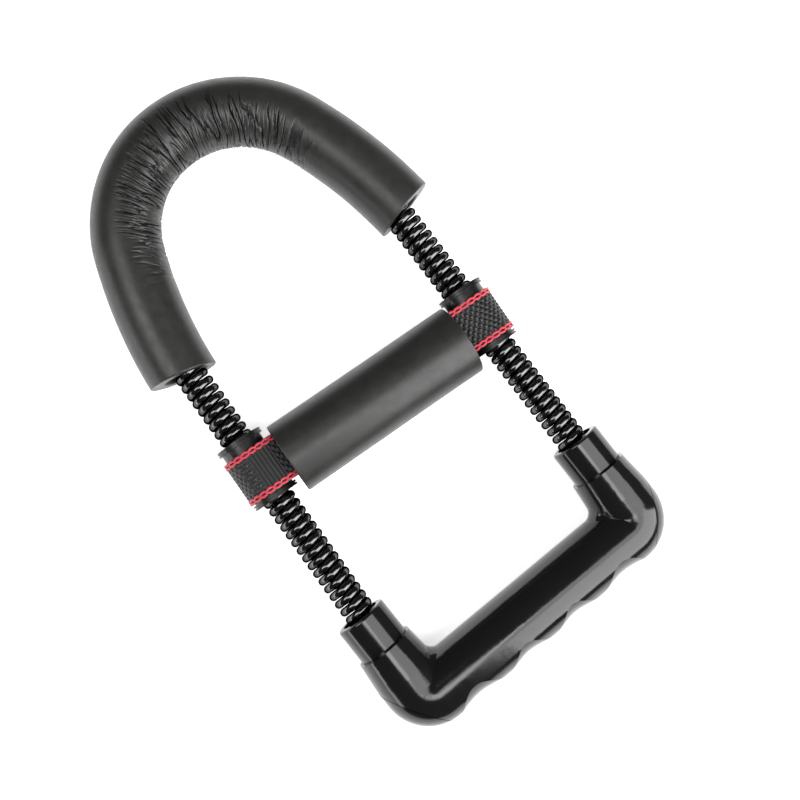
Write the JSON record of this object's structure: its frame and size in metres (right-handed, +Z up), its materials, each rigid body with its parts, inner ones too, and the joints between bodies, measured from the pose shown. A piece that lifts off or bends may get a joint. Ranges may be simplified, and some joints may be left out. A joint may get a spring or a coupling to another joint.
{
  "type": "wrist and forearm strengthener",
  "caption": "Spring wrist and forearm exerciser: foam-sleeved bow, parallel coil springs, sliding cross pad on webbing, and a moulded finger-grip handle.",
  "frame": {"origin": "on the surface it lies on, under the middle of the object's box", "axes": "+X along the hand grip to the right, +Y from the hand grip towards the foam bow, +Z up from the surface it lies on"},
  "size_m": [0.1618, 0.3116, 0.0354],
  "materials": {
    "foam": "matte closed-cell foam",
    "bare_steel": "plain",
    "black_steel": "black oxide",
    "spring_steel": "gloss black",
    "spool_plastic": "satin",
    "webbing": "coarse woven",
    "red_thread": "twisted thread",
    "handle_plastic": "high gloss"
  },
  "bodies": {
    "bow": {"bow_tube": "bare_steel", "bow_foam": "foam", "bow_plug_left": "bare_steel", "bow_plug_right": "bare_steel", "bow_rivet_left": "bare_steel", "bow_rivet_right": "bare_steel"},
    "springs": {"left_spring": "spring_steel", "right_spring": "spring_steel"},
    "pad": {"left_spool": "spool_plastic", "right_spool": "spool_plastic", "pad_webbing": "webbing", "webbing_stitching": "red_thread", "pad_foam": "foam"},
    "handle": {"handle_shell": "handle_plastic", "left_collar": "handle_plastic", "right_collar": "handle_plastic", "left_corner_cap": "handle_plastic", "right_corner_cap": "handle_plastic", "handle_plug_left": "bare_steel", "handle_plug_right": "bare_steel", "handle_washer_left": "bare_steel", "handle_washer_right": "bare_steel", "handle_bolt_left": "black_steel", "handle_bolt_right": "black_steel"}
  },
  "joints": [
    {"name": "upper_flex", "type": "hinge", "parent": "bow", "child": "springs", "pos_m": [-0.00059, 0.03387, 0.0177], "axis": [1, 0, 0], "range_deg": [-27.5, 27.5], "stiffness_Nm_per_rad": 20, "deforming": ["left_spring", "right_spring"]},
    {"name": "lower_flex", "type": "hinge", "parent": "springs", "child": "handle", "pos_m": [-0.00059, -0.06413, 0.0177], "axis": [1, 0, 0], "range_deg": [-27.5, 27.5], "stiffness_Nm_per_rad": 20},
    {"name": "pad_slide", "type": "slide", "parent": "springs", "child": "pad", "axis": [0, 1, 0], "range_m": [-0.015, 0.015]}
  ],
  "couplings": [
    {"joint": "lower_flex", "follows": "upper_flex", "ratio": 1}
  ]
}
